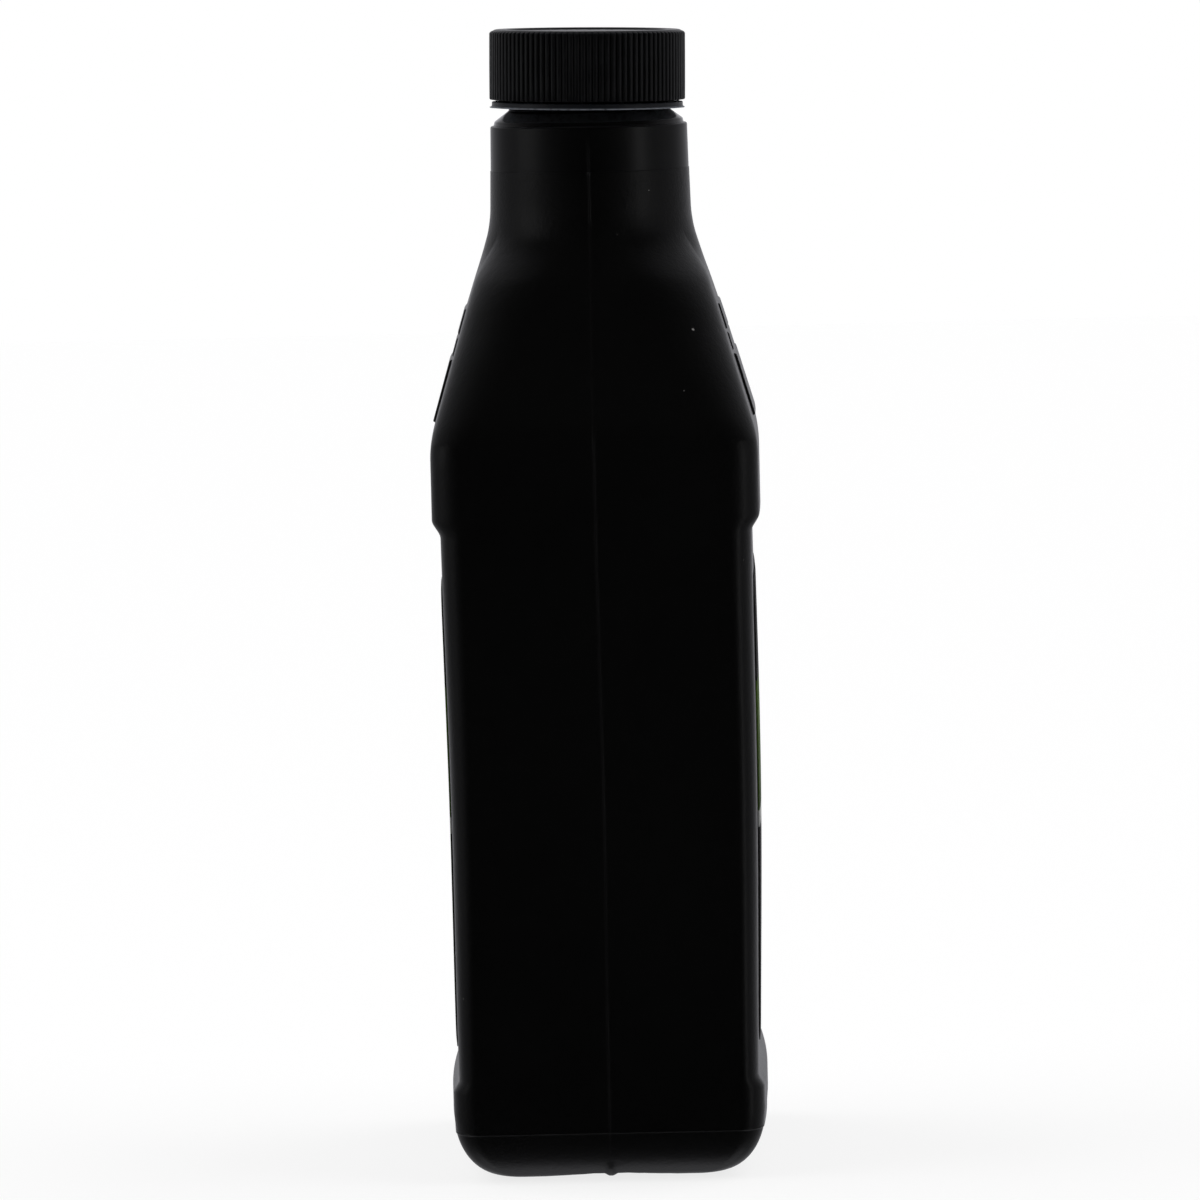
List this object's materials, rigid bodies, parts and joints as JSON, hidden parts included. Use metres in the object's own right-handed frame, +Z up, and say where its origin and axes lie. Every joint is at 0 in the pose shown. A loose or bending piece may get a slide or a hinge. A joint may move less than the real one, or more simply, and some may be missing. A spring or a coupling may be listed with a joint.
{
  "type": "gear oil bottle",
  "caption": "Flat black blown bottle of gear oil with a ribbed screw cap, a tamper band, seals and a label on each wide face.",
  "frame": {"origin": "under the middle of the base, on the surface the bottle stands on", "axes": "+Z up through the mouth, X across the wide label faces, the front label facing -Y"},
  "size_m": [0.095, 0.068, 0.235],
  "materials": {
    "bottle": "satin black polyethylene with a fine grain",
    "cap": "satin black polypropylene",
    "label": "smooth film with printed fields of colour",
    "oil": "amber liquid",
    "foil": "satin foil",
    "liner": "white foam"
  },
  "bodies": {
    "bottle_body": {"bottle": "bottle", "gear_oil": "oil", "foil_seal": "foil", "tamper_band": "cap", "front_label": "label", "back_label": "label"},
    "cap_carrier": {"cap_liner": "liner"},
    "cap_body": {"cap": "cap"}
  },
  "joints": [
    {"name": "cap_lift", "type": "slide", "parent": "bottle_body", "child": "cap_carrier", "axis": [0, 0, 1], "range_m": [0, 0.00636]},
    {"name": "cap_turn", "type": "hinge", "parent": "cap_carrier", "child": "cap_body", "pos_m": [0, 0, 0.225], "axis": [0, 0, 1], "range_deg": [0, 540]}
  ],
  "couplings": [
    {"joint": "cap_lift", "follows": "cap_turn", "m_per_rad": 0.0006737}
  ]
}
